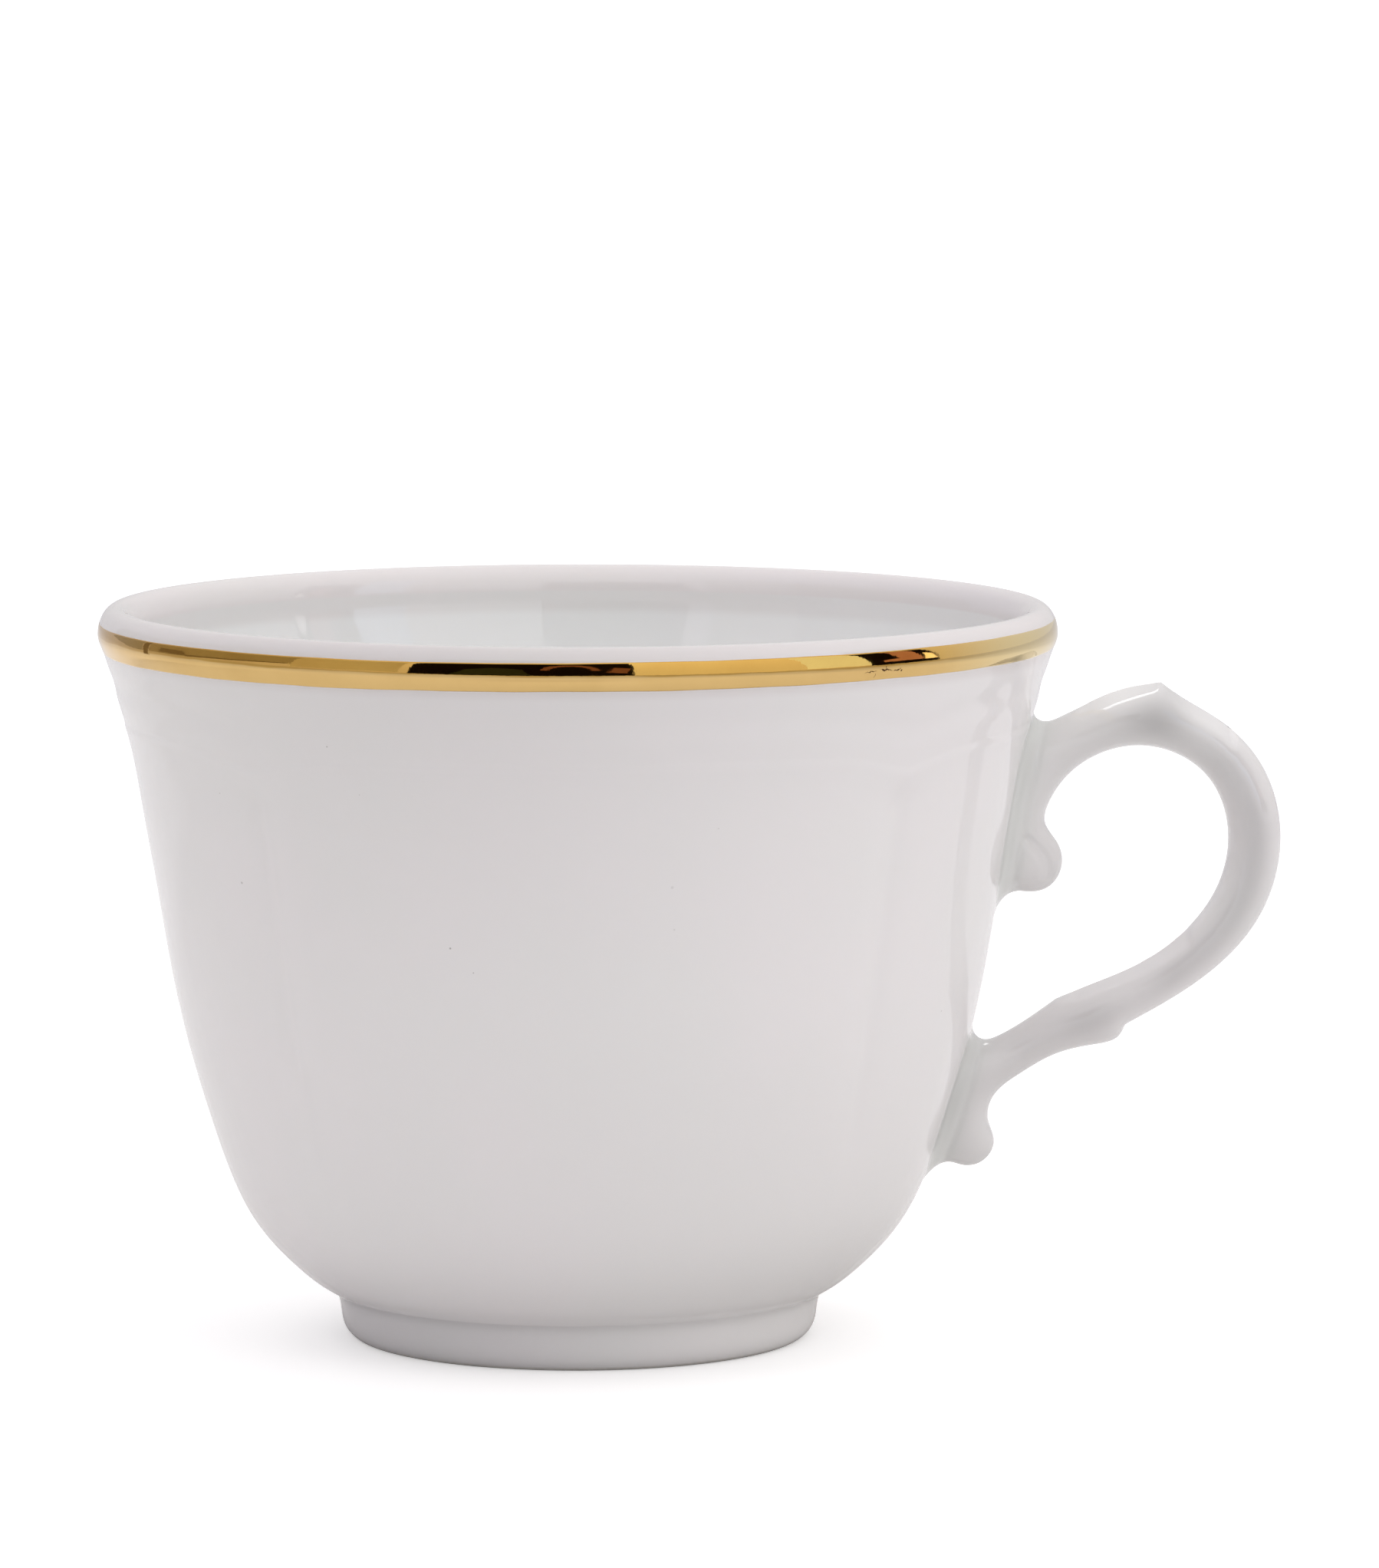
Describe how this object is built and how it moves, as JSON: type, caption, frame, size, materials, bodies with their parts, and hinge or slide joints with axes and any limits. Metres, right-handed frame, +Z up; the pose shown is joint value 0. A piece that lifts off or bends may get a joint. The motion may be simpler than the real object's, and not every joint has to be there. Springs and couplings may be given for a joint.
{
  "type": "teacup",
  "caption": "White porcelain teacup with a flared panelled bowl, a gold band on the lip, a scroll handle with a thumb rest, and a foot ring.",
  "frame": {"origin": "on the bowl's axis, at the table the cup stands on", "axes": "+Z up along the bowl's axis, +X from the axis through the middle of the handle"},
  "size_m": [0.1112, 0.09, 0.0692],
  "materials": {
    "glazed_porcelain": "clear glossy glaze over white porcelain, bare on the foot's lower edge",
    "gold": "burnished gold fired on the glaze, mirror bright"
  },
  "bodies": {
    "root": {"bowl": "glazed_porcelain", "foot_ring": "glazed_porcelain", "handle": "glazed_porcelain", "upper_slip_joint": "glazed_porcelain", "lower_slip_joint": "glazed_porcelain", "rim_gilding": "gold"}
  },
  "joints": []
}
